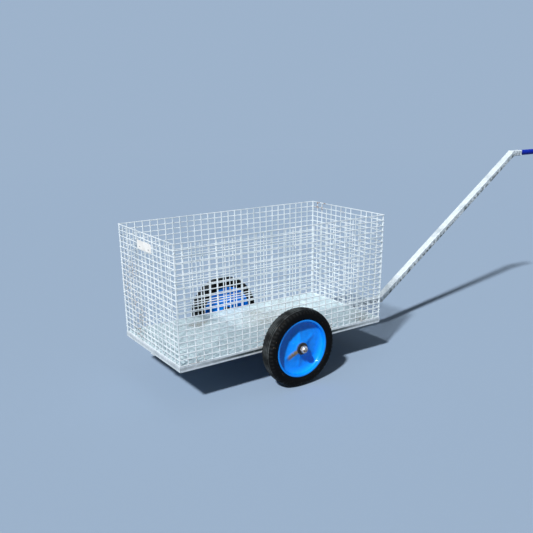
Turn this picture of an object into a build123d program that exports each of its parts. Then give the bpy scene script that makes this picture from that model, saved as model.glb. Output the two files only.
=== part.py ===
"""Lambing pram: a wire-mesh basket on an angle-iron frame, two pneumatic wheels and a bent drawbar handle.

Frame of the model: +X points from the basket to the handle, +Y to the left wheel, +Z up.
The origin is on the ground, under the middle of the pram's box. All sizes are millimetres.
"""

from build123d import *
import math
import os

# Mesh basket
COLUMN_PITCH = 38.1
ROW_PITCH = 25.4
COLUMNS_LONG = 29
COLUMNS_WIDE = 14
ROWS = 20
WIRE = 4.8

# Rings that tie the panels together at the corners
RING_WIRE = 2.5
RING_ROWS = (1, 7, 13, 18)

# Name plate on the rear end panel
PLATE_LENGTH = 138.0
PLATE_HEIGHT = 38.0
PLATE_THICKNESS = 1.5
PLATE_DROP = 38.0
RIVET_DIAMETER = 4.0
RIVET_HEAD_DIAMETER = 8.0
RIVET_HEAD = 1.2
BACKING_WASHER_DIAMETER = 14.0
BACKING_WASHER = 1.5

# Angle-iron frame and floor
ANGLE_LEG = 25.0
ANGLE_THICKNESS = 3.0
FLOOR_THICKNESS = 2.0
FLOOR_GAP = 0.5
BEARER_WIDTH = 40.0
BEARER_COUNT = 3

# Drawbar: a rail under the floor, a riser and a short handle stub, mitred and welded
BAR_WIDTH = 40.0
BAR_HEIGHT = 30.0
BAR_WALL = 2.5
BAR_CORNER = 4.0
RAIL_REACH = 262.0
RISER_ANGLE = 35.2
HANDLE_HEIGHT = 910.0
STUB_LENGTH = 69.0
END_PLATE = 3.0
GRIP_LENGTH = 146.0
GRIP_DIAMETER = 34.0
GRIP_CAP = 4.0
GRIP_CORE_DIAMETER = 22.0

# Axle and its hardware
AXLE_DIAMETER = 20.0
AXLE_OFFSET = 10.0
AXLE_TAIL = 2.7
AXLE_PLATE_LENGTH = 60.0
AXLE_PLATE_HEIGHT = 40.0
AXLE_PLATE_THICKNESS = 5.0
SPACER_DIAMETER = 32.0
SPACER_LENGTH = 20.0
WASHER_DIAMETER = 37.0
WASHER_THICKNESS = 3.0
NUT_ACROSS_FLATS = 30.0
NUT_HEIGHT = 18.0
NUT_COLLAR_DIAMETER = 26.0
NUT_COLLAR = 4.0

# Wheels
TYRE_DIAMETER = 362.0
TYRE_WIDTH = 80.0
TYRE_TREAD = 8.0
TYRE_SIDEWALL = 6.0
TYRE_SHOULDER = 7.0
TYRE_BEAD = 8.0
TYRE_SECTION_HEIGHT = 54.0
BEAD_SEAT_DIAMETER = TYRE_DIAMETER - 2 * TYRE_SECTION_HEIGHT
RIM_FLANGE_HEIGHT = 7.0
RIM_INNER_WIDTH = 62.0
RIM_SHEET = 2.5
RIM_WELL_WIDTH = 18.0
RIM_WELL_DEPTH = 8.0
RIM_WELL_SLOPE = 2.0
TUBE_WALL = 1.8
DISC_SHEET = 2.0
DISC_SETBACK = 4.5
DISC_EDGE = 5.0
DISC_SHOULDER_DROP = 12.0
HUB_LENGTH = 60.0
HUB_DIAMETER = 36.0
HUB_BORE = 30.0
HUB_COLLAR = 8.0
BUSH_LENGTH = 20.0
BUSH_FLANGE_DIAMETER = 56.0
BUSH_FLANGE = 3.0
VALVE_DIAMETER = 8.0
VALVE_LENGTH = 48.0
VALVE_CAP_DIAMETER = 10.0
VALVE_CAP = 10.0
VALVE_WINDOW_DIAMETER = 34.0

# Clearances, and how far a cutting tool reaches past the face it opens
FIT = 0.05
END_PLAY = 0.3
TUBE_GAP = 0.4
CUT_PAST = 1.0

# Basket sizes that follow from the mesh
basket_length = COLUMNS_LONG * COLUMN_PITCH + WIRE
end_panel_width = COLUMNS_WIDE * COLUMN_PITCH + WIRE
basket_width = end_panel_width + 2 * WIRE
basket_height = ROWS * ROW_PITCH + WIRE
half_width = basket_width / 2

# Heights: the axle runs through the middle of the rail, which hangs under the frame's flanges
axle_z = TYRE_DIAMETER / 2
rail_z = axle_z
flange_bottom = rail_z + BAR_HEIGHT / 2
frame_top = flange_bottom + ANGLE_THICKNESS
frame_bottom = frame_top - ANGLE_LEG

# Stations along the length, counted from the basket's rear face until the box's middle is known
riser_rise = HANDLE_HEIGHT - rail_z
riser_run = riser_rise / math.tan(math.radians(RISER_ANGLE))
rear_reach = max(PLATE_THICKNESS + RIVET_HEAD, RING_WIRE + FIT)
front_reach = RAIL_REACH + riser_run + STUB_LENGTH + END_PLATE + GRIP_LENGTH
overall_length = rear_reach + basket_length + front_reach
rear_x = rear_reach - overall_length / 2
front_x = rear_x + basket_length
middle_x = rear_x + basket_length / 2
axle_x = middle_x + AXLE_OFFSET
low_bend_x = front_x + RAIL_REACH
high_bend_x = low_bend_x + riser_run
stub_end_x = high_bend_x + STUB_LENGTH
grip_x = stub_end_x + END_PLATE

# Stations across the width, on the left side
spacer_y = half_width
hub_y = spacer_y + SPACER_LENGTH + END_PLAY
hub_total = HUB_LENGTH + 2 * BUSH_FLANGE
wheel_y = hub_y + hub_total / 2
washer_y = hub_y + hub_total + END_PLAY
nut_y = washer_y + WASHER_THICKNESS
axle_end_y = nut_y + NUT_HEIGHT + AXLE_TAIL

# Radii in the wheel
tyre_radius = TYRE_DIAMETER / 2
seat_radius = BEAD_SEAT_DIAMETER / 2
flange_radius = seat_radius + RIM_FLANGE_HEIGHT
well_radius = seat_radius - RIM_WELL_DEPTH
cavity_low = seat_radius + TYRE_BEAD / 2
cavity_high = tyre_radius - TYRE_TREAD
cavity_radius = (cavity_high - cavity_low) / 2
cavity_middle = (cavity_high + cavity_low) / 2
cavity_half_width = TYRE_WIDTH / 2 - TYRE_SIDEWALL


def save(name, *solids):
    """Write one node's solids to its own file."""
    shape = solids[0] if len(solids) == 1 else Compound(children=list(solids))
    export_step(shape, f"parts/{name}.step")


def block(x0, x1, y0, y1, z0, z1):
    """A box between two corners."""
    size = Box(x1 - x0, y1 - y0, z1 - z0)
    return Pos((x0 + x1) / 2, (y0 + y1) / 2, (z0 + z1) / 2) * size


def rod(radius, y0, y1):
    """A round bar along Y on the axis through the origin."""
    return Pos(0, (y0 + y1) / 2, 0) * Rot(90, 0, 0) * Cylinder(radius, y1 - y0)


def ring(outer, inner, y0, y1):
    """A plain ring along Y."""
    return rod(outer, y0, y1) - rod(inner, y0 - CUT_PAST, y1 + CUT_PAST)


def turned(outline):
    """A closed outline of (along the axle, radius) points or curves, turned about the axle."""
    return revolve(Plane.YZ * make_face(outline), Axis.Y)


def both_sides(shape):
    """The left-hand shape and the same shape turned to the right-hand side of the pram."""
    return shape, Rot(0, 0, 180) * shape


# Mesh panels


def mesh_panel(columns):
    """A flat grille of bars lying in X and Y, with one rectangular hole per cell."""
    length = columns * COLUMN_PITCH + WIRE
    outer = Wire.make_polygon([(0, 0), (length, 0), (length, basket_height), (0, basket_height)])
    cells = []
    for column in range(columns):
        for row in range(ROWS):
            x0 = column * COLUMN_PITCH + WIRE
            y0 = row * ROW_PITCH + WIRE
            x1 = x0 + COLUMN_PITCH - WIRE
            y1 = y0 + ROW_PITCH - WIRE
            cells.append(Wire.make_polygon([(x0, y0), (x1, y0), (x1, y1), (x0, y1)]))
    return Solid.extrude(Face(outer, cells), Vector(0, 0, WIRE))


def make_mesh():
    side = Rot(90, 0, 0) * mesh_panel(COLUMNS_LONG)
    end = Rot(0, 0, 90) * Rot(90, 0, 0) * mesh_panel(COLUMNS_WIDE)
    save("mesh_side_right", Pos(rear_x, WIRE - half_width, frame_top) * side)
    save("mesh_side_left", Pos(rear_x, half_width, frame_top) * side)
    save("mesh_end_rear", Pos(rear_x, -end_panel_width / 2, frame_top) * end)
    save("mesh_end_front", Pos(front_x - WIRE, -end_panel_width / 2, frame_top) * end)


def make_corner_rings():
    """Wire rings round the two edge wires that stand side by side at each corner."""
    rings = []
    for x_centre in (rear_x + WIRE / 2, front_x - WIRE / 2):
        for side in (1, -1):
            for row in RING_ROWS:
                z = frame_top + WIRE / 2 + (row + 0.5) * ROW_PITCH
                inside_x = WIRE + 2 * FIT
                inside_y = 2 * WIRE + 2 * FIT
                tie = Box(inside_x + 2 * RING_WIRE, inside_y + 2 * RING_WIRE, RING_WIRE)
                tie -= Box(inside_x, inside_y, 2 * RING_WIRE)
                rings.append(Pos(x_centre, side * (half_width - WIRE), z) * tie)
    save("corner_rings", *rings)


def make_name_plate():
    """A blank plate on the rear panel, held by two rivets that pull a washer against a wire."""
    top = frame_top + basket_height - PLATE_DROP
    wires_out = math.floor((PLATE_LENGTH / 2 - RIVET_HEAD_DIAMETER) / COLUMN_PITCH)
    rivet_y = wires_out * COLUMN_PITCH + WIRE / 2 + RIVET_DIAMETER / 2 + FIT
    plate_x = rear_x - PLATE_THICKNESS
    plate = block(plate_x, rear_x, -PLATE_LENGTH / 2, PLATE_LENGTH / 2, top - PLATE_HEIGHT, top)
    rows_up = (top - PLATE_HEIGHT / 2 - frame_top - WIRE / 2) / ROW_PITCH
    rivet_z = frame_top + WIRE / 2 + (math.floor(rows_up) + 0.5) * ROW_PITCH
    rivets = []
    washers = []
    inside_x = rear_x + WIRE
    tail_x = inside_x + BACKING_WASHER
    for side in (1, -1):
        at = Pos(0, side * rivet_y, rivet_z) * Rot(0, 0, -90)
        plate -= at * rod(RIVET_DIAMETER / 2 + FIT, plate_x - CUT_PAST, rear_x + CUT_PAST)
        rivet = rod(RIVET_DIAMETER / 2, plate_x, tail_x)
        rivet += rod(RIVET_HEAD_DIAMETER / 2, plate_x - RIVET_HEAD, plate_x)
        rivet += rod(RIVET_HEAD_DIAMETER / 2, tail_x, tail_x + RIVET_HEAD)
        rivets.append(at * rivet)
        washers.append(at * ring(BACKING_WASHER_DIAMETER / 2, RIVET_DIAMETER / 2 + FIT, inside_x, tail_x))
    save("name_plate", plate)
    save("plate_rivets", *rivets)
    save("plate_washers", *washers)


# Frame and floor


def angle_bar(length):
    """An angle along X, mitred at both ends, outer face at Y = 0 and the flat leg on top."""
    section = Polyline(
        (0, 0),
        (ANGLE_LEG, 0),
        (ANGLE_LEG, -ANGLE_THICKNESS),
        (ANGLE_THICKNESS, -ANGLE_THICKNESS),
        (ANGLE_THICKNESS, -ANGLE_LEG),
        (0, -ANGLE_LEG),
        close=True,
    )
    bar = extrude(Plane.YZ * make_face(section), length)
    plan = Polyline((0, 0), (length, 0), (length - ANGLE_LEG, ANGLE_LEG), (ANGLE_LEG, ANGLE_LEG), close=True)
    mitre = Pos(0, 0, -ANGLE_LEG) * extrude(make_face(plan), ANGLE_LEG)
    return bar & mitre


def make_frame():
    slot_radius = AXLE_DIAMETER / 2 + FIT
    slot_y = half_width + CUT_PAST
    slot_bottom = frame_bottom - axle_z - CUT_PAST
    slot = rod(slot_radius, -slot_y, slot_y)
    slot += block(-slot_radius, slot_radius, -slot_y, slot_y, slot_bottom, 0)
    slot = Pos(axle_x, 0, axle_z) * slot
    right = Pos(rear_x, -half_width, frame_top) * angle_bar(basket_length)
    left = Pos(front_x, half_width, frame_top) * Rot(0, 0, 180) * angle_bar(basket_length)
    save("frame_side_right", right - slot)
    save("frame_side_left", left - slot)
    rear = Pos(rear_x, half_width, frame_top) * Rot(0, 0, -90) * angle_bar(basket_width)
    front = Pos(front_x, -half_width, frame_top) * Rot(0, 0, 90) * angle_bar(basket_width)
    notch = block(
        front_x - ANGLE_LEG,
        front_x + CUT_PAST,
        -BAR_WIDTH / 2,
        BAR_WIDTH / 2,
        frame_bottom - CUT_PAST,
        flange_bottom,
    )
    save("frame_end_rear", rear)
    save("frame_end_front", front - notch)


def make_floor():
    """The floor sheet inside the mesh, and flat bearers that carry it from flange to flange."""
    inset = WIRE + FLOOR_GAP
    side_y = end_panel_width / 2 - FLOOR_GAP
    sheet = block(
        rear_x + inset, front_x - inset, -side_y, side_y, frame_top, frame_top + FLOOR_THICKNESS
    )
    save("floor_sheet", sheet)
    bearer_y = half_width - ANGLE_LEG
    for number in range(1, BEARER_COUNT + 1):
        x = rear_x + basket_length * number / (BEARER_COUNT + 1)
        bearer = block(
            x - BEARER_WIDTH / 2, x + BEARER_WIDTH / 2, -bearer_y, bearer_y, flange_bottom, frame_top
        )
        save(f"floor_bearer_{number}", bearer)


# Drawbar


def bar_prism(corners, width, corner_radius):
    """A side outline in X and Z drawn out to a bar's width, with its long edges rounded."""
    face = Plane.XZ * make_face(Polyline(*corners, close=True))
    prism = extrude(face, width / 2, both=True)
    along = Vector(*corners[1]) - Vector(*corners[0])
    long_edges = prism.edges().filter_by(Axis((0, 0, 0), (along.X, 0, along.Y)))
    return fillet(long_edges, corner_radius)


def bar_piece(start, end, lean_in, lean_out, angle):
    """A length of rectangular tube on the line from start to end, its ends leaning from square."""
    run = Vector(math.cos(math.radians(angle)), math.sin(math.radians(angle)))
    up = Vector(-run.Y, run.X)
    first = Vector(*start)
    last = Vector(*end)

    def corners(half):
        back = half * math.tan(math.radians(lean_in))
        ahead = half * math.tan(math.radians(lean_out))
        points = (
            first - up * half - run * back,
            last - up * half - run * ahead,
            last + up * half + run * ahead,
            first + up * half + run * back,
        )
        return [(point.X, point.Y) for point in points]

    inner_half = BAR_HEIGHT / 2 - BAR_WALL
    outside = bar_prism(corners(BAR_HEIGHT / 2), BAR_WIDTH, BAR_CORNER)
    inside = bar_prism(corners(inner_half), BAR_WIDTH - 2 * BAR_WALL, BAR_CORNER - BAR_WALL)
    return outside - inside


def make_drawbar():
    lean = RISER_ANGLE / 2
    low_bend = (low_bend_x, rail_z)
    high_bend = (high_bend_x, HANDLE_HEIGHT)
    rail = bar_piece((rear_x + ANGLE_THICKNESS, rail_z), low_bend, 0, -lean, 0)
    rail -= Pos(axle_x, 0, axle_z) * rod(AXLE_DIAMETER / 2 + FIT, -BAR_WIDTH, BAR_WIDTH)
    save("drawbar_rail", rail)
    save("drawbar_riser", bar_piece(low_bend, high_bend, lean, lean, RISER_ANGLE))
    save("handle_stub", bar_piece(high_bend, (stub_end_x, HANDLE_HEIGHT), -lean, 0, 0))
    end_plate = block(
        stub_end_x,
        grip_x,
        -BAR_WIDTH / 2,
        BAR_WIDTH / 2,
        HANDLE_HEIGHT - BAR_HEIGHT / 2,
        HANDLE_HEIGHT + BAR_HEIGHT / 2,
    )
    save("handle_end_plate", fillet(end_plate.edges().filter_by(Axis.X), BAR_CORNER))


def make_grip():
    at = Pos(grip_x, 0, HANDLE_HEIGHT) * Rot(0, 0, -90)
    core = rod(GRIP_CORE_DIAMETER / 2, 0, GRIP_LENGTH - GRIP_CAP)
    sleeve = rod(GRIP_DIAMETER / 2, 0, GRIP_LENGTH)
    sleeve -= rod(GRIP_CORE_DIAMETER / 2 + FIT, -CUT_PAST, GRIP_LENGTH - GRIP_CAP)
    rim = sleeve.edges().sort_by(Axis.Y)[-1]
    save("grip_core", at * core)
    save("grip", at * fillet(rim, GRIP_CAP / 2))


# Axle


def make_axle():
    at = Pos(axle_x, 0, axle_z)
    save("axle", at * rod(AXLE_DIAMETER / 2, -axle_end_y, axle_end_y))
    bore = AXLE_DIAMETER / 2 + FIT
    plate_y = half_width - ANGLE_THICKNESS
    plate = block(
        -AXLE_PLATE_LENGTH / 2,
        AXLE_PLATE_LENGTH / 2,
        plate_y - AXLE_PLATE_THICKNESS,
        plate_y,
        flange_bottom - axle_z - AXLE_PLATE_HEIGHT,
        flange_bottom - axle_z,
    )
    plate -= rod(bore, plate_y - AXLE_PLATE_THICKNESS - CUT_PAST, plate_y + CUT_PAST)
    spacer = ring(SPACER_DIAMETER / 2, bore, spacer_y, spacer_y + SPACER_LENGTH)
    washer = ring(WASHER_DIAMETER / 2, bore, washer_y, nut_y)
    hexagon = RegularPolygon(NUT_ACROSS_FLATS / 2, 6, major_radius=False)
    hex_height = NUT_HEIGHT - NUT_COLLAR
    nut = Pos(0, nut_y + hex_height, 0) * Rot(90, 0, 0) * extrude(hexagon, hex_height)
    nut += rod(NUT_COLLAR_DIAMETER / 2, nut_y + hex_height, nut_y + NUT_HEIGHT)
    nut -= rod(bore, nut_y - CUT_PAST, nut_y + NUT_HEIGHT + CUT_PAST)
    for name, shape in {
        "axle_plates": plate,
        "axle_spacers": spacer,
        "wheel_washers": washer,
        "axle_nuts": nut,
    }.items():
        save(name, *(at * copy for copy in both_sides(shape)))


# Wheels, made on the axle line with the outer side towards +Y


def tyre_shape():
    """An open cover: round sidewalls, a lightly curved tread, and beads inside the rim's flanges."""
    half = TYRE_WIDTH / 2
    bead_y = RIM_INNER_WIDTH / 2 - FIT
    bead_low = seat_radius + FIT
    shoulder_y = half - TYRE_SHOULDER
    shoulder_radius = tyre_radius - TYRE_SHOULDER
    low = (bead_y, flange_radius)
    outside = Curve() + [
        Line((-bead_y, bead_low), (bead_y, bead_low)),
        Line((bead_y, bead_low), low),
        ThreePointArc(low, (half, cavity_middle), (shoulder_y, shoulder_radius)),
        ThreePointArc((shoulder_y, shoulder_radius), (0, tyre_radius), (-shoulder_y, shoulder_radius)),
        ThreePointArc((-shoulder_y, shoulder_radius), (-half, cavity_middle), (-bead_y, flange_radius)),
        Line((-bead_y, flange_radius), (-bead_y, bead_low)),
    ]
    cavity = Plane.YZ * Pos(0, cavity_middle) * Ellipse(cavity_half_width, cavity_radius)
    mouth_half = bead_y - TYRE_BEAD
    mouth = Polyline(
        (-mouth_half, seat_radius - CUT_PAST),
        (mouth_half, seat_radius - CUT_PAST),
        (mouth_half, cavity_middle),
        (-mouth_half, cavity_middle),
        close=True,
    )
    return turned(outside) - revolve(cavity, Axis.Y) - turned(mouth)


def inner_tube_shape():
    """A closed air tube, a little smaller than the tyre's cavity."""
    across = cavity_half_width - TUBE_GAP
    high = cavity_radius - TUBE_GAP
    section = Ellipse(across, high) - Ellipse(across - TUBE_WALL, high - TUBE_WALL)
    return revolve(Plane.YZ * Pos(0, cavity_middle) * section, Axis.Y)


def rim_shape():
    """A rolled channel: two flanges, two bead seats and a well between them."""
    inside = RIM_INNER_WIDTH / 2
    outside = inside + RIM_SHEET
    well = RIM_WELL_WIDTH / 2
    half_outline = [
        (0, well_radius),
        (well - RIM_WELL_SLOPE, well_radius),
        (well, seat_radius),
        (inside, seat_radius),
        (inside, flange_radius),
        (outside, flange_radius),
        (outside, seat_radius - RIM_SHEET),
        (well + RIM_SHEET, seat_radius - RIM_SHEET),
        (well + RIM_SHEET - RIM_WELL_SLOPE, well_radius - RIM_SHEET),
        (0, well_radius - RIM_SHEET),
    ]
    half = turned(Polyline(*half_outline, close=True))
    rim = half + Rot(0, 0, 180) * half
    return rim - valve_rod(VALVE_DIAMETER / 2 + FIT, well_radius - 2 * RIM_SHEET, seat_radius)


def valve_rod(radius, inner, outer):
    """A round bar that points from the axle down to the ground side of the wheel."""
    return Pos(0, 0, -(inner + outer) / 2) * Cylinder(radius, outer - inner)


def disc_shape():
    """A dished disc, welded into the rim's well and coned outwards to a flat collar on the hub."""
    edge_radius = well_radius - RIM_SHEET - FIT
    hole_radius = HUB_DIAMETER / 2 + FIT
    collar_radius = hole_radius + HUB_COLLAR
    shoulder_radius = edge_radius - DISC_SHOULDER_DROP
    collar_y = HUB_LENGTH / 2 - HUB_COLLAR
    edge_y = DISC_SETBACK
    shoulder_y = edge_y + DISC_SHEET
    outline = Polyline(
        (edge_y, edge_radius),
        (edge_y + DISC_EDGE, edge_radius),
        (shoulder_y + DISC_SHEET, shoulder_radius),
        (collar_y, collar_radius),
        (collar_y, hole_radius),
        (collar_y - DISC_SHEET, hole_radius),
        (collar_y - DISC_SHEET, collar_radius),
        (shoulder_y, shoulder_radius),
        close=True,
    )
    return turned(outline)


def bush_shape():
    """A flanged plain bearing pressed into the outer end of the hub."""
    end = HUB_LENGTH / 2
    bore = AXLE_DIAMETER / 2 + FIT
    sleeve = ring(HUB_BORE / 2 - FIT, bore, end - BUSH_LENGTH, end)
    return sleeve + ring(BUSH_FLANGE_DIAMETER / 2, bore, end, end + BUSH_FLANGE)


def make_wheel(side, turn):
    at = Pos(axle_x, math.cos(math.radians(turn)) * wheel_y, axle_z) * Rot(0, 0, turn)
    tube_bottom = cavity_low + TUBE_GAP - END_PLAY
    valve_end = tube_bottom - VALVE_LENGTH
    stem = valve_rod(VALVE_DIAMETER / 2, valve_end, tube_bottom)
    cap = valve_rod(VALVE_CAP_DIAMETER / 2, valve_end - VALVE_CAP, valve_end)
    window = Pos(0, -HUB_LENGTH / 2, -valve_end) * rod(VALVE_WINDOW_DIAMETER / 2, 0, HUB_LENGTH / 2)
    disc = disc_shape()
    bush = bush_shape()
    save(f"{side}_tyre", at * tyre_shape())
    save(f"{side}_inner_tube", at * inner_tube_shape())
    save(f"{side}_rim", at * rim_shape())
    save(f"{side}_disc_outer", at * disc)
    save(f"{side}_disc_inner", at * (Rot(0, 0, 180) * disc - window))
    save(f"{side}_hub", at * ring(HUB_DIAMETER / 2, HUB_BORE / 2, -HUB_LENGTH / 2, HUB_LENGTH / 2))
    save(f"{side}_hub_bushes", *(at * copy for copy in both_sides(bush)))
    save(f"{side}_valve_stem", at * stem)
    save(f"{side}_valve_cap", at * cap)


os.makedirs("parts", exist_ok=True)
make_mesh()
make_corner_rings()
make_name_plate()
make_frame()
make_floor()
make_drawbar()
make_grip()
make_axle()
make_wheel("left", 0)
make_wheel("right", 180)
print(f"basket {basket_length:.1f} x {basket_width:.1f} x {basket_height:.1f}")
overall_height = HANDLE_HEIGHT + max(BAR_HEIGHT, GRIP_DIAMETER) / 2
print(f"overall {overall_length:.1f} x {2 * axle_end_y:.1f} x {overall_height:.1f}")
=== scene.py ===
# %% [markdown]
# # A lambing pram, dressed around its frame
#
# A lambing pram is a hand cart of welded wire mesh on an angle-iron frame, with two pneumatic wheels and one
# bent drawbar. The frame comes in as a finished CAD model: every piece is at its real place and size, in
# metres, with +X towards the handle and +Z up. This lesson gives each piece its looks. What the CAD model
# keeps simple, such as flat grilles for the mesh and plain rings for the tyres, is replaced by surfaces
# worked out with numpy. What is already right, such as the drawbar's tubes, only gets a finish.

import bmesh
import bpy
import numpy as np
from mathutils import Matrix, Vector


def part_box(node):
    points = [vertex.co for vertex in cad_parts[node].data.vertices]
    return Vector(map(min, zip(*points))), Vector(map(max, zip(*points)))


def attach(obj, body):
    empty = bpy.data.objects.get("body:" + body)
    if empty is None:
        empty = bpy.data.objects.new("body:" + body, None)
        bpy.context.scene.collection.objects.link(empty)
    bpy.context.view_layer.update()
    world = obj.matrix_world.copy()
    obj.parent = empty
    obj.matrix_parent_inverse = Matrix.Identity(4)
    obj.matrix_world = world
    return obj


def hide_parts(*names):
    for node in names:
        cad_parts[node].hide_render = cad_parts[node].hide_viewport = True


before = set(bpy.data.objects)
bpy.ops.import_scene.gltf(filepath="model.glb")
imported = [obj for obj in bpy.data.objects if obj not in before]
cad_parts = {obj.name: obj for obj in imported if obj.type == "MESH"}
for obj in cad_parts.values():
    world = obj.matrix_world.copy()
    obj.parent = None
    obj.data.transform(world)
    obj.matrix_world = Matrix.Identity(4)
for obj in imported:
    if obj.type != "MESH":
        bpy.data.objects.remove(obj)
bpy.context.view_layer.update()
MM = 0.001
X, Y, Z = np.eye(3)
rng = np.random.default_rng(29)

# %% [markdown]
# ## Surfaces from arrays
#
# Almost every piece here is a grid of points: a section carried along a path, or an outline turned about an
# axle. Blender's own tools could make them one by one, but a grid is quicker to compute as one array, and
# the same few functions then serve wires, welds, tyres and washers. A surface is a pair: its points, and a
# list of face arrays that number those points.


# %% Boxes and grids
def corners(node):
    """Lowest and highest corner of a CAD node, as arrays in metres."""
    low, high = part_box(node)
    return np.array(low), np.array(high)


def middle(node):
    """Centre of a CAD node's box."""
    return 0.5 * sum(corners(node))


def half_size(node):
    """Half of a CAD node's size along each axis."""
    low, high = corners(node)
    return 0.5 * (high - low)


def grid_faces(rows, columns, wrap_rows=False, wrap_columns=False):
    """Quads between neighbours in a grid of points numbered row by row; a wrapped direction meets itself."""
    number = np.arange(rows * columns).reshape(rows, columns)
    number = np.pad(number, ((0, int(wrap_rows)), (0, int(wrap_columns))), "wrap")
    quads = np.stack([number[:-1, :-1], number[:-1, 1:], number[1:, 1:], number[1:, :-1]], axis=-1)
    return quads.reshape(-1, 4)


def loft(rings):
    """A closed skin over rings of points (ring, point, 3), with a flat cap on the first and last ring."""
    count, around = rings.shape[:2]
    cap = np.arange(around)[None]
    faces = [grid_faces(count, around, wrap_columns=True), cap, cap + (count - 1) * around]
    return rings.reshape(-1, 3), faces


def repeated(faces, count, step):
    """The same faces for each of several copies, whose points are numbered `step` apart."""
    shift = (np.arange(count) * step)[:, None, None]
    return [(block[None] + shift).reshape(-1, block.shape[1]) for block in faces]


def copies(surface, places):
    """The same small surface set down at many places: every point is moved by every place."""
    points, faces = surface
    moved = (places[:, None] + points[None]).reshape(-1, 3)
    return moved, repeated(faces, len(places), len(points))


print("3 rings of 8 points are joined by", len(grid_faces(3, 8, wrap_columns=True)), "quads")

# %% Pieces
TOUCHING = 1e-6


def make_piece(name, surfaces, finish, body="pram", replaced=(), crease=40.0, marks=None):
    """One object from several surfaces: touching points merged, faces turned outwards, riding on a body.
    marks gives a value per point for each attribute that the finish reads."""
    starts = np.cumsum([0] + [len(points) for points, _ in surfaces])
    points = np.concatenate([points for points, _ in surfaces])
    faces = []
    for start, (_, blocks) in zip(starts, surfaces):
        for block in blocks:
            faces += (block + start).tolist()
    mesh = bpy.data.meshes.new(name)
    mesh.from_pydata(points.tolist(), [], faces)
    for mark, values in (marks or {}).items():
        layer = mesh.attributes.new(mark, "FLOAT", "POINT")
        layer.data.foreach_set("value", values.astype(np.float32).ravel())
    shell = bmesh.new()
    shell.from_mesh(mesh)
    bmesh.ops.remove_doubles(shell, verts=shell.verts, dist=TOUCHING)
    bmesh.ops.recalc_face_normals(shell, faces=shell.faces)
    shell.to_mesh(mesh)
    shell.free()
    mesh.shade_smooth()
    mesh.set_sharp_from_angle(angle=np.radians(crease))
    mesh.materials.append(finish)
    piece = bpy.data.objects.new(name, mesh)
    bpy.context.scene.collection.objects.link(piece)
    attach(piece, body)
    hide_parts(*replaced)
    print(f"{name}: {len(mesh.polygons)} faces on {body}")


print("points within", TOUCHING, "m of each other are merged")


# %% Outlines
def smooth(value, low, high):
    """0 below low, 1 above high, and an even S curve between."""
    t = np.clip((value - low) / (high - low), 0, 1)
    return t * t * (3 - 2 * t)


def between(value, rise, fall):
    """0 to 1 over the two limits in rise, and back to 0 over the two in fall."""
    return smooth(value, *rise) * (1 - smooth(value, *fall))


def bell(value, width):
    """exp(-(value / width)²)"""
    return np.exp(-((value / width) ** 2))


def parabola(start, turn, end, t):
    """The curve from start to end that sets out towards turn: (1 - t)² start + 2 t (1 - t) turn + t² end."""
    return (1 - t) ** 2 * start + 2 * t * (1 - t) * turn + t**2 * end


def rounded(outline, radius, steps=4):
    """A closed outline with its corners eased: each corner becomes a parabola between two points that lie
    one radius along its two sides, or less than half a side where the side is short."""
    outline = np.asarray(outline, float)
    reach = np.broadcast_to(np.asarray(radius, float), len(outline))[:, None]
    ends = []
    for turn in (1, -1):
        side = np.roll(outline, turn, axis=0) - outline
        length = np.linalg.norm(side, axis=1, keepdims=True)
        ends.append((outline + side / length * np.minimum(reach, 0.45 * length))[:, None])
    t = np.linspace(0, 1, steps + 1)[None, :, None]
    return parabola(ends[0], outline[:, None], ends[1], t).reshape(-1, outline.shape[1])


def ring_section(low, high, inside, outside, ease):
    """Section of a plain ring: low to high along its axis, inside to outside across, with eased edges."""
    return rounded([(low, inside), (high, inside), (high, outside), (low, outside)], ease)


def measured(path):
    """Distance along a path at each of its points."""
    return np.concatenate([[0], np.cumsum(np.linalg.norm(np.diff(path, axis=0), axis=1))])


def drawn_at(path, distances):
    """The points at the given distances along a path of straight runs."""
    run = measured(path)
    return np.stack([np.interp(distances, run, part) for part in path.T], axis=1)


print("a square with eased corners has", len(ring_section(0, 1, 0, 1, 0.1)), "points")


# %% Lathe, tube and lump
def all_round(count):
    """Angles all the way round, without the first one again at the end."""
    return np.linspace(0, 2 * np.pi, count, endpoint=False)


def turned(along, radius, centre, axis, segments, closed=True):
    """A lathe: point = centre + along · axis + radius · (sin a · side + cos a · up), for angles a all round.
    along and radius hold one value per outline point, or one per angle and outline point."""
    angle = all_round(segments)[:, None, None]
    side = X if abs(axis[0]) < 0.5 else Y
    along, radius = np.broadcast_arrays(np.atleast_2d(along), np.atleast_2d(radius))
    spoke = np.sin(angle) * side + np.cos(angle) * Z
    points = centre + along[..., None] * axis + radius[..., None] * spoke
    return points.reshape(-1, 3), [grid_faces(segments, points.shape[1], True, closed)]


def turned_pair(along, radius, centre, segments):
    """The same outline turned about the axle's direction twice, once towards each wheel."""
    return [turned(way * along, radius, centre, Y, segments) for way in (-1, 1)]


def tube(path, radius, flat, sides=8, closed=False):
    """A round section carried along a path. Each ring stands square to the path, turned so that one of its
    directions is square to `flat`, which the path never follows."""
    ahead = np.roll(path, -1, axis=0) - np.roll(path, 1, axis=0) if closed else np.gradient(path, axis=0)
    ahead /= np.linalg.norm(ahead, axis=1, keepdims=True)
    side = np.cross(ahead, flat)
    side /= np.linalg.norm(side, axis=1, keepdims=True)
    up = np.cross(side, ahead)
    angle = all_round(sides)[None, :, None]
    reach = np.broadcast_to(radius, len(path))[:, None, None]
    rings = path[:, None] + reach * (np.cos(angle) * side[:, None] + np.sin(angle) * up[:, None])
    if closed:
        return rings.reshape(-1, 3), [grid_faces(len(path), sides, True, True)]
    return loft(rings)


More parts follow.
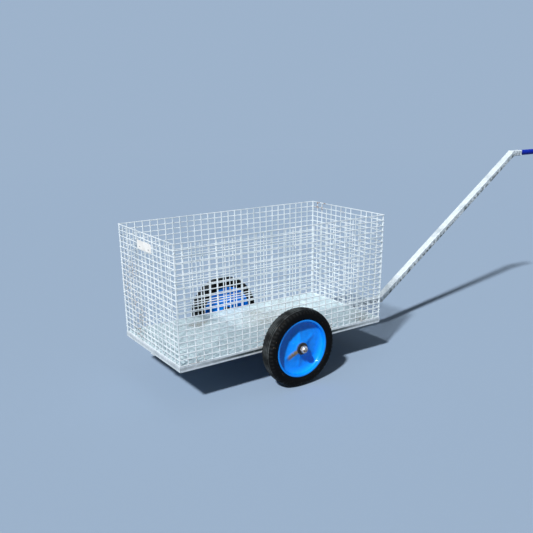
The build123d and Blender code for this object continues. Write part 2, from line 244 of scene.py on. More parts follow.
def blob(size, around=6, rings=4):
    """A small closed lump: an ellipsoid whose rings shrink to one point at each end."""
    lift = np.linspace(-np.pi / 2, np.pi / 2, rings + 1)[:, None]
    angle = all_round(around)[None]
    parts = np.cos(lift) * np.cos(angle), np.cos(lift) * np.sin(angle), np.sin(lift) + 0 * angle
    return np.stack(parts, axis=-1).reshape(-1, 3) * size, [grid_faces(rings + 1, around, wrap_columns=True)]


print("a lump has", len(blob(MM)[0]), "points")

# %% [markdown]
# ## Finishes as node trees
#
# Each finish is one principled shader fed by procedural noise on object coordinates, so it needs no image
# and no unwrapping, and the pattern stays at its real scale. A small class keeps the node calls short: it
# adds nodes, joins sockets and sets constants straight on the shader.


# %% The finish class
class Finish:
    """A material in the making, or the world: its main shader and the nodes that feed it."""

    def __init__(self, name, fixed, owner=None, shader="Principled BSDF"):
        self.material = owner or bpy.data.materials.new(name)
        self.material.use_nodes = True
        self.nodes = self.material.node_tree.nodes
        self.links = self.material.node_tree.links
        self.shader = self.nodes[shader]
        self.place = self.add("TexCoord").outputs["Object"]
        self.feed(self.shader, fixed)

    def feed(self, node, inputs):
        """Link a socket, or set a constant, on each named input; a colour of three parts is made opaque."""
        for name, value in inputs.items():
            socket = node.inputs[name]
            if isinstance(value, bpy.types.NodeSocket):
                self.links.new(value, socket)
            else:
                socket.default_value = (*value, 1) if socket.type == "RGBA" and len(value) == 3 else value

    def add(self, kind, inputs=None, **settings):
        node = self.nodes.new("ShaderNode" + kind)
        for name, value in settings.items():
            setattr(node, name, value)
        self.feed(node, inputs or {})
        return node

    def noise(self, scale, detail=3.0, stretch=(1, 1, 1), roughness=0.55):
        where = self.add("Mapping", {"Vector": self.place, "Scale": stretch}).outputs["Vector"]
        inputs = {"Vector": where, "Scale": scale, "Detail": detail, "Roughness": roughness}
        return self.add("TexNoise", inputs).outputs["Fac"]

    def crystals(self, scale):
        """One random grey per cell: the spangle that zinc freezes into."""
        cell = self.add("TexVoronoi", {"Vector": self.place, "Scale": scale}).outputs["Color"]
        return self.add("SeparateColor", {"Color": cell}).outputs["Red"]

    def mark(self, name):
        return self.add("Attribute", attribute_name=name).outputs["Fac"]

    def ease(self, value, low, high, start=0.0, end=1.0):
        """value eased from low..high to start..end."""
        inputs = {"Value": value, "From Min": low, "From Max": high, "To Min": start, "To Max": end}
        return self.add("MapRange", inputs, interpolation_type="SMOOTHSTEP").outputs["Result"]

    def calc(self, operation, first, second=0.0):
        return self.add("Math", {0: first, 1: second}, operation=operation).outputs[0]

    def ragged(self, mark, value, low, high, start=0.0, end=1.0):
        """A marked region, broken up where a noise value is low."""
        return self.calc("MULTIPLY", self.mark(mark), self.ease(value, low, high, start, end))

    def mix(self, factor, first, second):
        node = self.add("Mix", data_type="RGBA")
        self.feed(node, {0: factor, 6: first, 7: second})
        return node.outputs[2]

    def patch(self, first, second, value, low, high, amount=1.0):
        """The first colour, going by an amount to the second as a value rises from low to high."""
        return self.mix(self.ease(value, low, high, 0, amount), first, second)

    def wear(self, colour, roughness, height, depth):
        """Join the worked-out colour, roughness and bump height (metres deep) to the shader."""
        bump = self.add("Bump", {"Height": height, "Distance": depth}).outputs["Normal"]
        self.feed(self.shader, {"Base Color": colour, "Roughness": roughness, "Normal": bump})
        return self.material


print("node helpers:", *[name for name in vars(Finish) if not name.startswith("_")])

# %% [markdown]
# ### Galvanised steel
#
# Hot-dip zinc is pale grey and half matt. It freezes into crystals a centimetre wide and dulls in patches.
# The drawbar is bright on top, and its upright sides get painted shade, broken into dark blotches and darkest
# towards the lower edge. The angle iron's outer face gets a band of the same painted shade, mixed with mud
# thrown up by the wheels. Both are asked for by a mask: on the drawbar the mask is how near a point is to the
# tube's side faces, and on the angle iron it is an attribute of the swept surface.

# %% Zinc on bars
ZINC = (0.60, 0.67, 0.71)
DULL_ZINC = (0.37, 0.43, 0.46)
WHITE_ZINC = (0.78, 0.84, 0.87)
SHADE_AND_GRIME = (0.035, 0.052, 0.054)
RUST = (0.24, 0.145, 0.09)


def zinc_steel(name, grime_mask, low, high):
    """Spangled zinc with dull patches, and dark blotches where the mask function gives a high value: painted
    shade, with mud as well on the angle iron. The blotches begin at the noise level `low` and are full at
    `high`."""
    steel = Finish(name, {"Metallic": 0.3})
    spangle = steel.crystals(85)
    patches = steel.noise(11, 5)
    colour = steel.patch(WHITE_ZINC, ZINC, spangle, 0, 1, 0.8)
    colour = steel.patch(colour, DULL_ZINC, patches, 0.48, 0.68, 0.55)
    colour = steel.patch(colour, WHITE_ZINC, steel.noise(38, 4), 0.56, 0.68, 0.8)
    blotches = steel.ease(steel.noise(44, 7, roughness=0.74), low, high)
    # painted shade: the mask darkens the drawbar's upright sides and, together with mud, the angle iron's
    # outer face
    colour = steel.mix(steel.calc("MULTIPLY", blotches, grime_mask(steel)), colour, SHADE_AND_GRIME)
    colour = steel.patch(colour, RUST, steel.noise(75, 5), 0.69, 0.76, 0.7)
    roughness = steel.ease(steel.calc("ADD", spangle, patches), 0.3, 1.5, 0.34, 0.58)
    return steel.wear(colour, roughness, steel.noise(420, 3), 0.25 * MM)


def bend_centres():
    """The drawbar's two bends in the middle plane, as (x, z), and the slope of the riser between them."""
    rail, riser, stub = (corners(name) for name in ("drawbar_rail", "drawbar_riser", "handle_stub"))
    low = np.array([0.5 * (riser[0][0] + rail[1][0]), middle("drawbar_rail")[2]])
    high = np.array([0.5 * (riser[1][0] + stub[0][0]), middle("handle_stub")[2]])
    return low, high, np.arctan2(high[1] - low[1], high[0] - low[0])


def bar_side_shade(steel):
    """Painted shade for the drawbar: high on the two upright faces, which lie half a tube's width from the
    middle plane, and higher towards the lower edge. The height above the tube's middle is measured square to
    each of its three runs; the run that a point lies on is the smaller of the first two, or the third where
    that is larger."""
    low, high, slope = bend_centres()

    def height(angle, through):
        inputs = {0: steel.place, 1: (-np.sin(angle), 0, np.cos(angle))}
        dot = steel.add("VectorMath", inputs, operation="DOT_PRODUCT").outputs["Value"]
        return steel.calc("SUBTRACT", dot, through[1] * np.cos(angle) - through[0] * np.sin(angle))

    rise = steel.calc("MINIMUM", height(0, low), height(slope, low))
    rise = steel.calc("MAXIMUM", rise, height(0, high))
    half = corners("drawbar_riser")[1][1]
    across = steel.add("SeparateXYZ", {"Vector": steel.place}).outputs["Y"]
    side = steel.ease(steel.calc("ABSOLUTE", across), half - 3 * MM, half - 0.5 * MM)
    return steel.calc("MULTIPLY", side, steel.ease(rise, -7 * MM, 8 * MM, 0.95, 0.35))


bar_zinc = zinc_steel("bar_zinc", bar_side_shade, 0.40, 0.62)
angle_zinc = zinc_steel("angle_zinc", lambda steel: steel.mark("grime"), 0.24, 0.46)
print("zinc on bars:", bar_zinc.name, angle_zinc.name)

# %% Zinc on wire and floor
FLOOR_WHITE = (0.69, 0.83, 0.87)
FLOOR_GREY = (0.50, 0.63, 0.68)
FLECKS = (0.20, 0.22, 0.22)
MUD = (0.25, 0.20, 0.15)


def zinc_wire():
    """Pale wire: nearly white where it is clean, greyer in long stretches, brown where the stain is high."""
    wire = Finish("zinc_wire", {"Metallic": 0.25})
    colour = wire.patch(WHITE_ZINC, ZINC, wire.noise(9, 4), 0.42, 0.68)
    colour = wire.patch(colour, DULL_ZINC, wire.noise(70, 3), 0.60, 0.72, 0.75)
    colour = wire.mix(wire.ragged("stain", wire.noise(120, 5, roughness=0.7), 0.46, 0.6), colour, RUST)
    roughness = wire.ease(wire.noise(40), 0.3, 0.7, 0.36, 0.58)
    return wire.wear(colour, roughness, wire.noise(700, 2), 0.12 * MM)


def zinc_floor():
    """Sheet walked on for years: scuffs along and across, dark flecks, and mud where the stain is high."""
    sheet = Finish("zinc_floor", {"Metallic": 0.2})
    colour = sheet.patch(FLOOR_WHITE, FLOOR_GREY, sheet.crystals(60), 0, 1)
    for stretch in ((0.12, 1, 1), (1, 0.12, 1)):
        colour = sheet.patch(colour, DULL_ZINC, sheet.noise(130, 5, stretch, 0.7), 0.54, 0.66, 0.65)
    colour = sheet.patch(colour, FLECKS, sheet.noise(160, 4), 0.58, 0.68, 0.8)
    colour = sheet.mix(sheet.ragged("stain", sheet.noise(90, 7, roughness=0.75), 0.36, 0.62), colour, MUD)
    roughness = sheet.ease(sheet.noise(30, 4), 0.3, 0.7, 0.45, 0.68)
    return sheet.wear(colour, roughness, sheet.noise(240, 4), 0.3 * MM)


wire_zinc = zinc_wire()
floor_zinc = zinc_floor()
print("zinc on wire and floor:", wire_zinc.name, floor_zinc.name)

# %% [markdown]
# ### Paint, rubber, plating and plastic
#
# The wheel discs are glossy bright blue under a clear coat, chipped here and there and stained by rust that
# has run from the hub; inside the rims' lips the blue is deepened by painted shade. The tyres are dull black,
# with a painted sheen along the edges of the grooves, a little dust in the shoulder notches and specks of
# mud.
# The nuts are bright plating that has begun to rust.

# %% Paint and rubber
BLUE = (0.001, 0.265, 0.97)
# DEEP_BLUE is the darker tone of random patches, and the colour of the painted shade in the rims' recess
DEEP_BLUE = (0.0005, 0.03, 0.26)
CHIPS = (0.30, 0.42, 0.58)
RUST_RUN = (0.27, 0.19, 0.075)
BLACK = (0.003, 0.0032, 0.0035)
DUST_AND_SHEEN = (0.088, 0.101, 0.105)


def blue_paint():
    """Bright blue, with painted shade where the recess is marked, and brown where the rust is."""
    paint = Finish("blue_paint", {"Coat Weight": 0.45, "Coat Roughness": 0.06, "Specular IOR Level": 0.1})
    colour = paint.patch(BLUE, DEEP_BLUE, paint.noise(22, 4), 0.45, 0.75, 0.2)
    # painted shade: the recess mark darkens the blue inside the rim's lips
    colour = paint.mix(paint.mark("recess"), colour, DEEP_BLUE)
    colour = paint.patch(colour, CHIPS, paint.noise(210, 3), 0.71, 0.75, 0.6)
    colour = paint.mix(paint.ragged("rust", paint.noise(110, 5), 0.22, 0.48), colour, RUST_RUN)
    roughness = paint.ease(paint.noise(60, 4), 0.35, 0.7, 0.22, 0.42)
    return paint.wear(colour, roughness, paint.noise(160, 2), 0.08 * MM)


def tyre_rubber():
    """Black, with dust and a painted sheen where it is marked, and a few specks of mud."""
    rubber = Finish("tyre_rubber", {"Specular IOR Level": 0.07})
    # painted sheen on the groove edges, and dust in the shoulder notches
    colour = rubber.mix(rubber.ragged("dust", rubber.noise(20, 4), 0.38, 0.66, 0.2, 1), BLACK, DUST_AND_SHEEN)
    colour = rubber.patch(colour, MUD, rubber.noise(110, 5, roughness=0.65), 0.64, 0.72, 0.7)
    roughness = rubber.ease(rubber.noise(45, 4), 0.3, 0.7, 0.48, 0.74)
    return rubber.wear(colour, roughness, rubber.noise(520, 3), 0.25 * MM)


wheel_blue = blue_paint()
tyre_black = tyre_rubber()
print("wheel finishes:", wheel_blue.name, tyre_black.name)

# %% Plating and plastic
PLATING_RUST = (0.24, 0.105, 0.045)


def plating(name, bright, rusty):
    """Bright plating; rusty is the noise level above which brown rust has come through."""
    metal = Finish(name, {"Metallic": 0.85})
    colour = metal.patch(bright, PLATING_RUST, metal.noise(85, 6, roughness=0.68), rusty, rusty + 0.12)
    roughness = metal.ease(metal.noise(70, 4), 0.3, 0.7, 0.22, 0.5)
    return metal.wear(colour, roughness, metal.noise(380, 3), 0.15 * MM)


def moulded(name, colour, worn, gloss, fixed=None):
    """Moulded plastic, rubber or enamel: one colour that goes a little towards `worn` in soft patches."""
    plastic = Finish(name, fixed or {})
    patch = plastic.ease(plastic.noise(26, 5), 0.42, 0.74, 0, 0.6)
    scratches = plastic.ease(plastic.noise(240, 4, (0.25, 1, 1)), 0.66, 0.74, 0, 0.5)
    mixed = plastic.mix(plastic.calc("MAXIMUM", patch, scratches), colour, worn)
    roughness = plastic.ease(plastic.noise(90, 3), 0.3, 0.7, gloss, gloss + 0.2)
    return plastic.wear(mixed, roughness, plastic.noise(600, 2), 0.1 * MM)


nut_plating = plating("nut_plating", (0.86, 0.84, 0.80), 0.55)
greasy_steel = plating("greasy_steel", (0.035, 0.034, 0.033), 0.64)
rod_plating = plating("rod_plating", (0.52, 0.49, 0.44), 0.46)
rivet_metal = plating("rivet_metal", (0.33, 0.33, 0.33), 0.60)
valve_brass = plating("valve_brass", (0.62, 0.45, 0.20), 0.66)
bush_black = moulded("bush_black", (0.012, 0.012, 0.013), (0.05, 0.045, 0.04), 0.42)
cap_black = moulded("cap_black", (0.014, 0.014, 0.015), (0.06, 0.055, 0.05), 0.45)
tube_black = moulded("tube_black", (0.02, 0.02, 0.02), (0.06, 0.055, 0.05), 0.5)
plate_white = moulded("plate_white", (0.84, 0.84, 0.82), (0.58, 0.56, 0.52), 0.35)
grip_blue = moulded("grip_blue", (0.001, 0.012, 0.30), (0.002, 0.03, 0.40), 0.34,
                    {"Specular IOR Level": 0.12})
print("plating and plastic:", nut_plating.name, "to", grip_blue.name)

# %% [markdown]
# ## The mesh panels
#
# Each wall is a sheet of welded mesh: upright wires on the inside, level wires on the outside, fused where
# they cross. The CAD panel is a flat grille that holds the right holes but has square bars. Here every wire
# is a round tube on a centre line that wanders by a fraction of a millimetre, all wires of a panel computed
# in one array, and every crossing gets a small weld lump. Two uprights of the handle-end wall have lost
# their top cell.

# %% Wires
COLUMNS_LONG = 29
COLUMNS_WIDE = 14
ROWS = 20
WIRE = 2 * half_size("mesh_end_rear")[0]
WIRE_RADIUS = 0.48 * WIRE
LAYER = 0.14 * WIRE
WANDER = 0.35 * MM
WIRE_SIDES = 8
CUT_END = 0.7


def wander(wires, stations):
    """Slow sideways drift along each wire: three sine waves of random size and phase."""
    s = np.linspace(0, 1, stations)[None, None]
    wave = np.arange(1, 4)[:, None, None]
    phase = rng.uniform(0, 2 * np.pi, (3, wires, 1))
    size = rng.normal(0, WANDER, (3, wires, 1))
    return (size / wave * np.sin(2 * np.pi * wave * s + phase)).sum(axis=0)


def centre_lines(start, places, across, travel, along, layer, outward):
    """One line per place: start + (place + drift) · across + travel · along + (layer + drift) · outward."""
    shape = len(places), travel.shape[1]
    drift = wander(*shape)
    sway = wander(*shape) + layer
    lines = start + (places[:, None] + drift)[..., None] * across
    return lines + travel[..., None] * along + sway[..., None] * outward


def wires(centres, across, away):
    """Round wires on many centre lines (wire, station, 3): point = centre + radius · (cos a · across +
    sin a · away), with one smaller ring at each cut end and a flat cap on it."""
    lines = np.concatenate([centres[:, :1], centres, centres[:, -1:]], axis=1)
    count, stations = lines.shape[:2]
    radius = np.full(stations, WIRE_RADIUS)
    radius[[0, -1]] *= CUT_END
    angle = all_round(WIRE_SIDES) + np.pi / WIRE_SIDES
    ring = np.cos(angle)[:, None] * across + np.sin(angle)[:, None] * away
    points = lines[:, :, None] + radius[None, :, None, None] * ring
    return points.reshape(-1, 3), repeated(loft(points[0])[1], count, stations * WIRE_SIDES)


print(f"wire of {WIRE / MM:.1f} mm in {COLUMNS_LONG} x {COLUMNS_WIDE} x {ROWS} cells")

# %% Panels
LUMP_WIDE = 1.45
LUMP_DEEP = 1.1
REAR_X = corners("mesh_end_rear")[0][0]
FRONT_X = corners("mesh_end_front")[1][0]
REAR_STAINS = [(REAR_X / MM, y, z, 55, 1)
               for y, z in ((227, 436), (150, 384), (116, 249), (165, 519), (80, 331))]
FOOT_STAINS = [(x, y, 203, 40, 0.8) for x in (-1230, -900, -520, -300) for y in (-270, 270)]
FRONT_STAINS = [(FRONT_X / MM, y, z, 14, 1) for y, z in ((-171, 240), (-220, 276), (30, 690), (-120, 560))]
FRONT_STAINS += [(FRONT_X / MM, y, z, 16, 3) for y, z in ((186, 703), (192, 688), (212, 708), (236, 690))]
LOST_UPRIGHTS = (5, 11)


def stained(points, spots):
    """A mark that fades with distance from each spot (x, y, z, radius, strength, the first four in
    millimetres): the largest of a few bell curves."""
    spots = np.asarray(spots, float)
    apart = np.linalg.norm(points[:, None] - spots[None, :, :3] * MM, axis=2)
    return (spots[:, 4] * bell(apart, spots[:, 3] * MM)).max(axis=1)


def mesh_panel(name, along, outward, columns, stains, lost=()):
    """A panel in its CAD node's place. lost numbers the uprights that stop one row short."""
    low, high = corners(name)
    length = (high - low) @ along
    height = high[2] - low[2]
    start = low + 0.5 * WIRE * np.abs(outward)
    run = 0.5 * WIRE + np.arange(columns + 1) * (length - WIRE) / columns
    rise = 0.5 * WIRE + np.arange(ROWS + 1) * (height - WIRE) / ROWS
    tops = np.full(columns + 1, height)
    tops[list(lost)] = rise[-2]
    up = np.linspace(0, 1, 2 * ROWS + 1)[None] * tops[:, None]
    out = np.linspace(0, length, 2 * columns + 1)[None]
    uprights = centre_lines(start, run, along, up, Z, -LAYER, outward)
    levels = centre_lines(start, rise, Z, out, along, LAYER, outward)
    kept = np.ones((columns + 1, ROWS + 1), bool)
    kept[list(lost), -1] = False
    crossings = (start + run[:, None, None] * along + rise[None, :, None] * Z)[kept]
    lump = blob(WIRE_RADIUS * (LUMP_WIDE * along + LUMP_WIDE * Z + LUMP_DEEP * np.abs(outward)))
    surfaces = [wires(uprights, along, outward), wires(levels, Z, outward), copies(lump, crossings)]
    marks = {"stain": stained(np.concatenate([points for points, _ in surfaces]), stains)}
    make_piece(f"{name}_wires", surfaces, wire_zinc, replaced=(name,), marks=marks)


mesh_panel("mesh_side_right", X, -Y, COLUMNS_LONG, FOOT_STAINS)
mesh_panel("mesh_side_left", X, Y, COLUMNS_LONG, FOOT_STAINS)
mesh_panel("mesh_end_rear", Y, -X, COLUMNS_WIDE, REAR_STAINS)
mesh_panel("mesh_end_front", Y, X, COLUMNS_WIDE, FRONT_STAINS, LOST_UPRIGHTS)

# %% [markdown]
# ## Corner ties, name plate and rivets
#
# At each corner two edge wires stand side by side, held by wire ties whose ends lap past each other. A tie
# is a tube on a stadium-shaped path that also climbs a little, so the lapped ends lie one above the other.
# The name plate is left blank: a thin white plate with eased corners, on two domed rivets.

# %% Corner ties
TIE_ROWS = (1, 7, 13, 18)
TIE_RADIUS = 1.1 * MM
TIE_CLIMB = 1.3 * MM
TIE_LAP = 0.06


def corner_ties():
    """Path: half circles of one radius about the two wires, joined by straights, climbing as it turns."""
    low, high = corners("mesh_side_right")
    row = (high[2] - low[2] - WIRE) / ROWS
    reach = WIRE_RADIUS + TIE_RADIUS
    turn = np.linspace(-TIE_LAP, 1 + TIE_LAP, 29) * 2 * np.pi
    path = np.stack([reach * np.cos(turn), reach * np.sin(turn) + 0.5 * WIRE * np.sign(np.sin(turn)),
                     TIE_CLIMB * (turn / np.pi - 1)], axis=1)
    sides = corners("mesh_side_left")[0][1], high[1]
    places = [(x, y, low[2] + 0.5 * WIRE + (level + 0.5) * row)
              for x in (REAR_X + 0.5 * WIRE, FRONT_X - 0.5 * WIRE) for y in sides for level in TIE_ROWS]
    ties = copies(tube(path, TIE_RADIUS, Z, sides=6), np.array(places))
    make_piece("corner_ties", [ties], wire_zinc, replaced=("corner_rings",))


corner_ties()

# %% Name plate, rivets and washers
PLATE_CORNER = 5 * MM
PLATE_BEVEL = 0.35 * MM


def plate_rings(low, high):
    """Rounded rectangles in the plate's plane: the back, the edge, and a front set in by the bevel."""
    centre = 0.5 * (low + high)
    half = 0.5 * (high - low)
    edges = high[0] - PLATE_BEVEL, low[0] + PLATE_BEVEL
    rings = []
    for x, inset in ((high[0], PLATE_BEVEL), (edges[0], 0), (edges[1], 0), (low[0], PLATE_BEVEL)):
        b, c = half[1] - inset, half[2] - inset
        loop = rounded([(-b, -c), (b, -c), (b, c), (-b, c)], PLATE_CORNER - inset, 6)
        rings.append(np.column_stack([np.full(len(loop), x), centre[1] + loop[:, 0], centre[2] + loop[:, 1]]))
    return loft(np.array(rings))


def plate_fixings():
    """Rivet outline: a dome with a dimple, a shank, and a flat tail. The washers lie behind the mesh."""
    plate = corners("name_plate")
    make_piece("name_plate_sheet", [plate_rings(*plate)], plate_white,
               replaced=("name_plate",))
    low, high = corners("plate_rivets")
    head = half_size("plate_rivets")[2]
    shank = 0.5 * head
    height = plate[0][0] - low[0]
    tail = high[0] - low[0]
    dome = np.column_stack([height * (1 - np.cos(np.linspace(0, 0.5, 6) * np.pi)),
                            head * np.linspace(0.3, 1.0, 6)])
    outline = np.vstack([[(0.5 * height, 0), (0.4 * height, 0.22 * head)], dome, [(height, head),
                         (height, shank), (tail - height, shank), (tail - height, head), (tail, 0.9 * head),
                         (tail, 0)]])
    near, far = (corner[0] - low[0] for corner in corners("plate_washers"))
    washer = ring_section(near, far, shank + 0.1 * MM, half_size("plate_washers")[2], 0.4 * MM)
    centres = [np.array([low[0], y, middle("plate_rivets")[2]]) for y in (low[1] + head, high[1] - head)]
    rivets = [turned(*outline.T, centre, X, 24, closed=False) for centre in centres]
    washers = [turned(*washer.T, centre, X, 32) for centre in centres]
    make_piece("plate_rivet_heads", rivets, rivet_metal, replaced=("plate_rivets",))
    make_piece("plate_backing_washers", washers, rod_plating, replaced=("plate_washers",))


plate_fixings()

# %% [markdown]
# ## Angle-iron frame and floor sheet
#
# The frame is rolled angle: two flat legs with an eased heel, a fillet in the root and rounded toes. It is a
# section carried along a straight line. The mitred ends need no cutting: the place of each point along the
# bar is clipped to its own distance from the outer face, which is a 45 degree cut. The axle's slot and the
# drawbar's notch are clipped in the same way, from below.

# %% Angle iron
LEG = 2 * half_size("frame_side_right")[2]
ANGLE_THICKNESS = 2 * half_size("floor_bearer_1")[2]
ANGLE_EASE = np.array([0.8, 0.3, 2.2, 3.5, 2.2, 0.6]) * MM
FRAME_TOP = corners("frame_side_right")[1][2]
AXLE_CENTRE = middle("axle")
AXLE_RADIUS = half_size("axle")[2]
BAR_HIGH = corners("drawbar_rail")[1]
STEP = 0.02 * MM
SHADE_BAND_FROM = 4 * MM, 7 * MM
SHADE_BAND_TO = 15 * MM, 19 * MM
BAND_FADES = 240 * MM, 500 * MM
END_SHADE_AND_MUD = 0.22


def angle_bar(name, x, y, along, stations, lift, shade_and_mud_strength):
    """point = start + clip(station, in, length - in) · along + in · inward - min(down, lift) · Z, for section
    points (in from the outer face, down from the top). A band of painted shade, mixed with mud, lies on the
    outer face only, between a clean strip along its top and one along its bottom."""
    t = ANGLE_THICKNESS
    section = rounded([(0, 0), (LEG, 0), (LEG, t), (t, t), (t, LEG), (0, LEG)], ANGLE_EASE, 3)
    face = np.column_stack([np.zeros(9), LEG * np.linspace(0.92, 0.08, 9)])
    deep, down = np.vstack([section, face]).T
    run = np.clip(stations[:, None], deep, stations[-1] - deep)
    lifted = np.minimum(down, np.reshape(lift, (-1, 1)))
    rings = np.array([x, y, FRAME_TOP]) + run[..., None] * along
    rings = rings + deep[:, None] * np.cross(Z, along) - lifted[..., None] * Z
    # painted shade: a dark band down the outer face, mixed with mud that is thickest near the wheels
    grime = (deep < 0.2 * MM) * between(down, SHADE_BAND_FROM, SHADE_BAND_TO) * np.reshape(shade_and_mud_strength, (-1, 1))
    make_piece(f"{name}_angle", [loft(rings)], angle_zinc, replaced=(name,), crease=30,
               marks={"grime": np.broadcast_to(grime, run.shape)})


def cut_stations(length, at, half, inside):
    """Stations along a bar, with a close pair at each wall of a cut-out and a few within it."""
    plain = np.linspace(0, length, 41)
    plain = plain[np.abs(plain - at) > half + STEP]
    walls = at + np.array([-half - STEP, -half, half, half + STEP])
    return np.unique(np.concatenate([plain, walls, at + half * np.linspace(-1, 1, inside)]))


def make_frame():
    """Four bars, each run from its own corner. The sides are slotted for the axle and the front is notched
    for the drawbar. The outer face's band of painted shade and mud thrown up by the wheels is strongest near
    them and weaker towards the ends."""
    low, high = corners("frame_side_right")
    far = corners("frame_side_left")[1][1]
    width = far - low[1]
    near_axle = AXLE_CENTRE[0] - low[0]
    for name, x, y, along, axle in (
            ("frame_side_right", low[0], low[1], X, near_axle),
            ("frame_side_left", high[0], far, -X, high[0] - AXLE_CENTRE[0])):
        run = cut_stations(high[0] - low[0], axle, AXLE_RADIUS, 15)
        gap = AXLE_RADIUS**2 - (run - axle) ** 2
        roof = FRAME_TOP - AXLE_CENTRE[2] - np.sqrt(np.maximum(gap, 0))
        band_near_wheels = 0.35 + 0.65 * (1 - smooth(np.abs(run - near_axle), *BAND_FADES))
        angle_bar(name, x, y, along, run, np.where(gap >= -1e-9, roof, LEG), band_near_wheels)
    angle_bar("frame_end_rear", low[0], far, -Y, np.linspace(0, width, 25), LEG, END_SHADE_AND_MUD)
    run = cut_stations(width, 0.5 * width, BAR_HIGH[1], 3)
    notch = np.where(np.abs(run - 0.5 * width) <= BAR_HIGH[1] + 0.5 * STEP, ANGLE_THICKNESS, LEG)
    angle_bar("frame_end_front", high[0], low[1], Y, run, notch, END_SHADE_AND_MUD)


make_frame()

# %% Floor sheet
DENT = 1.2 * MM
FLOOR_STAINS = ((-1005, 160, 34, 1.5), (-960, 172, 26, 1.4), (-665, 130, 70, 0.9), (-680, 20, 110, 0.85),
                (-590, 70, 80, 0.6), (-295, -232, 60, 0.9), (-240, -170, 50, 0.7), (-450, 200, 60, 0.4))


def floor_sheet():
    """A slab whose top dips between its edges: z = top - dent · √(edge window) · (sum of slow waves)². Each
    cross section is a closed loop, over the top and back underneath."""
    low, high = corners("floor_sheet")
    x = np.linspace(low[0], high[0], 141)[:, None]
    y = np.linspace(low[1], high[1], 71)[None]
    window = np.sin(np.pi * (x - low[0]) / (high[0] - low[0]))
    window = window * np.sin(np.pi * (y - low[1]) / (high[1] - low[1]))
    waves = 0.6 * np.sin(9 * x + 1) * np.sin(11 * y) + 0.4 * np.sin(23 * x + 14 * y)
    waves = waves + 0.3 * np.sin(31 * y - 17 * x)
    top = np.stack(np.broadcast_arrays(x, y, high[2] - DENT * window**0.5 * waves**2), axis=-1)
    under = np.stack(np.broadcast_arrays(x, y[:, ::10], np.array(low[2])), axis=-1)[:, ::-1]
    skin = loft(np.concatenate([top, under], axis=1))
    spots = [(*spot[:2], high[2] / MM, *spot[2:]) for spot in FLOOR_STAINS]
    make_piece("floor_sheet_zinc", [skin], floor_zinc, replaced=("floor_sheet",),
               marks={"stain": np.minimum(stained(skin[0], spots), 1)})


floor_sheet()

# %% [markdown]
# ## Drawbar, bearers and welds
#
# The drawbar's three tubes, the flat bearers and the axle plates are plain stock that the CAD model already
# holds with its true corners, so they keep their meshes and take a finish. What makes them look made by hand
# is the weld metal: rippled beads round the mitred bends, along the joints under the floor, at the frame's
# corners and at the feet of the mesh. A bead is a tube whose radius swells and shrinks once per ripple.

# %% Finishes on plain stock
BEARERS = ("floor_bearer_1", "floor_bearer_2", "floor_bearer_3")
STOCK = {
    bar_zinc: ("drawbar_rail", "drawbar_riser", "handle_stub", "handle_end_plate", *BEARERS, "axle_plates"),
    rod_plating: ("axle_spacers", "grip_core"),
    tube_black: ("left_inner_tube", "right_inner_tube"),
    valve_brass: ("left_valve_stem", "right_valve_stem"),
    cap_black: ("left_valve_cap", "right_valve_cap"),
    wheel_blue: ("left_disc_inner", "right_disc_inner"),
}
for finish, names in STOCK.items():
    for name in names:
        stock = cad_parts[name].data
        stock.materials.clear()
        stock.materials.append(finish)
print("finished as they are:", sum(len(names) for names in STOCK.values()), "nodes")

# %% Weld beads
RIPPLE = 3.2 * MM
BEAD = 1.9 * MM
CORNER_BEAD = 1.2 * MM
BEND_BEAD = 1.5 * MM
TUBE_CORNER = 4 * MM


def bead(path, flat, radius=BEAD, closed=False):
    """A rippled tube along straight runs between path points; an open bead narrows to nothing at its ends."""
    path = np.asarray(path, float)
    path = np.vstack([path, path[:1]]) if closed else path
    length = measured(path)[-1]
    at = np.linspace(0, length, max(int(length / RIPPLE * 4), 8), endpoint=not closed)
    size = radius * (0.86 + 0.14 * np.abs(np.sin(np.pi * at / RIPPLE)) + 0.08 * np.sin(at / (7 * MM)))
    if not closed:
        size = size * np.sqrt(np.clip(np.minimum(at, length - at) / radius, 0, 1))
    return tube(drawn_at(path, at), size, flat, 8, closed)


def bar_loop(bend_x, bend_z, lean):
    """The tube's rounded section where a plane leaning from upright by `lean` cuts it."""
    half_width, half_height = half_size("drawbar_rail")[1:]
    loop = rounded([(-half_width, -1), (half_width, -1), (half_width, 1), (-half_width, 1)], TUBE_CORNER)
    tall = loop[:, 1] * half_height / np.cos(lean)
    return np.column_stack([bend_x - tall * np.sin(lean), loop[:, 0], bend_z + tall * np.cos(lean)])


def drawbar_welds():
    """A bead round each bend, in the plane that halves it, and one round the end of the handle stub."""
    low_bend, high_bend, slope = bend_centres()
    square = np.array([np.cos(0.5 * slope), 0, np.sin(0.5 * slope)])
    loops = [bead(bar_loop(*bend, 0.5 * slope), square, BEND_BEAD, True) for bend in (low_bend, high_bend)]
    loops.append(bead(bar_loop(corners("handle_stub")[1][0], high_bend[1], 0), X, CORNER_BEAD, True))
    make_piece("drawbar_welds", loops, bar_zinc)


